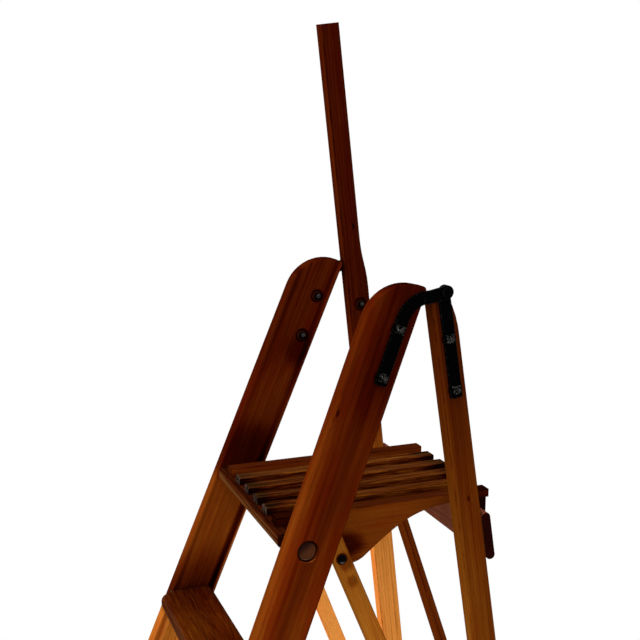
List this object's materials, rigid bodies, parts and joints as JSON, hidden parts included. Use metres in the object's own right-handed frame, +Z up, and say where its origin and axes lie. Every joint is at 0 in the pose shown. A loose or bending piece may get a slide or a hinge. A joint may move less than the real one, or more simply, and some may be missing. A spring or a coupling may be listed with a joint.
{
  "type": "folding library steps",
  "caption": "Wooden folding library steps with solid treads, a slatted platform that tips up as they close, iron strap hinges and a hand pole on one side.",
  "frame": {"origin": "middle of the footprint's bounding box, on the floor", "axes": "+Z up, +X to the climber's right, +Y ahead of the climber, from the treads to the rear legs"},
  "size_m": [0.4946, 0.9064, 1.8615],
  "materials": {
    "pine": "varnished pitch pine",
    "red_wood": "dark red varnish",
    "black_iron": "worn black paint",
    "pivot_metal": "brown patina",
    "screw_steel": "dull"
  },
  "bodies": {
    "front_frame": {"stile_right": "pine", "stile_left": "pine", "tread_1": "pine", "tread_2": "pine", "tread_3": "pine", "tread_4": "pine", "hinge_strap_right": "black_iron", "hinge_strap_left": "black_iron", "hinge_rivet_right": "black_iron", "hinge_rivet_left": "black_iron", "stile_hinge_bolts": "black_iron", "stile_hinge_nuts": "black_iron", "platform_pivot_right": "pivot_metal", "platform_pivot_left": "pivot_metal"},
    "rear_frame": {"rear_leg_right": "pine", "rear_leg_left": "pine", "rear_rail_upper": "red_wood", "rear_rail_lower": "red_wood", "rear_brace": "red_wood", "hinge_leaf_right": "black_iron", "hinge_leaf_left": "black_iron", "leg_hinge_bolts": "black_iron", "leg_hinge_nuts": "black_iron", "rail_screws": "screw_steel", "brace_screws": "screw_steel", "link_foot_bolts": "black_iron", "link_foot_nuts": "black_iron"},
    "platform": {"platform_side_right": "pine", "platform_side_left": "pine", "slat_1": "pine", "slat_2": "pine", "slat_3": "pine", "slat_4": "pine", "front_crosspiece": "pine", "rear_batten": "red_wood"},
    "link_right": {"link_right": "pine", "link_spacer_right": "screw_steel", "link_head_bolt_right": "black_iron"},
    "link_left": {"link_left": "pine", "link_spacer_left": "screw_steel", "link_head_bolt_left": "black_iron"}
  },
  "joints": [
    {"name": "rear_fold", "type": "hinge", "parent": "front_frame", "child": "rear_frame", "pos_m": [0, 0.23612, 1.4666], "axis": [-1, 0, 0], "range_deg": [0, 28]},
    {"name": "platform_fold", "type": "hinge", "parent": "front_frame", "child": "platform", "pos_m": [0, 0.02282, 1.1158], "axis": [1, 0, 0], "range_deg": [0, 68.2]},
    {"name": "link_right_swing", "type": "hinge", "parent": "rear_frame", "child": "link_right", "pos_m": [0.19372, 0.38688, 0.3366], "axis": [-1, 0, 0], "range_deg": [0, 11.36]},
    {"name": "link_left_swing", "type": "hinge", "parent": "rear_frame", "child": "link_left", "pos_m": [-0.19372, 0.38688, 0.3366], "axis": [-1, 0, 0], "range_deg": [0, 11.36]}
  ],
  "couplings": [
    {"joint": "platform_fold", "follows": "rear_fold", "ratio": 2.4357},
    {"joint": "link_right_swing", "follows": "rear_fold", "ratio": 0.40568},
    {"joint": "link_left_swing", "follows": "rear_fold", "ratio": 0.40568}
  ]
}
